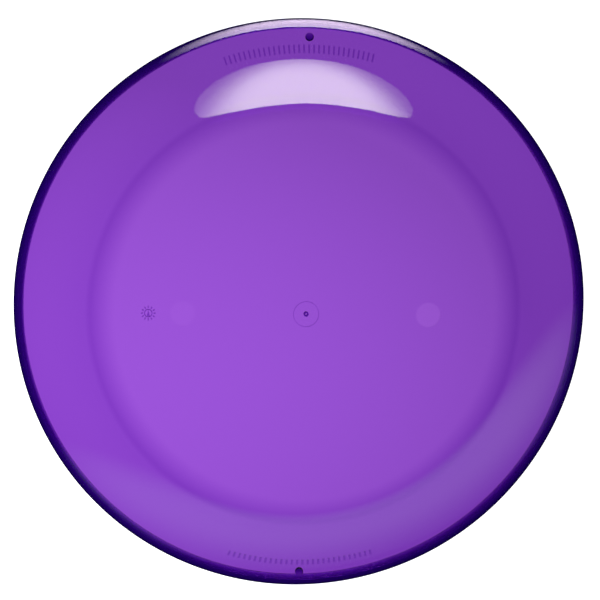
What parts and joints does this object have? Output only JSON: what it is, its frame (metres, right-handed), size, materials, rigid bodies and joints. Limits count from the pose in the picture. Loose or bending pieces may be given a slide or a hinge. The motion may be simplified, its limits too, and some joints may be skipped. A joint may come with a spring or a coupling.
{
  "type": "flying disc",
  "caption": "Round one-piece flying disc of clear tinted plastic: flat plate, sloping shoulder and a rounded rim with a foot that turns inwards, around a hollow underside.",
  "frame": {"origin": "centre of the circle on which the rim stands, on the spin axis", "axes": "+Z is the spin axis and points out of the top face, +Y points to the lug beside the row of coarse marks, +X points away from the date dial"},
  "size_m": [0.235, 0.235, 0.02],
  "materials": {
    "tinted_plastic": "clear tinted, high gloss"
  },
  "bodies": {
    "root": {"disc": "tinted_plastic"}
  },
  "joints": []
}
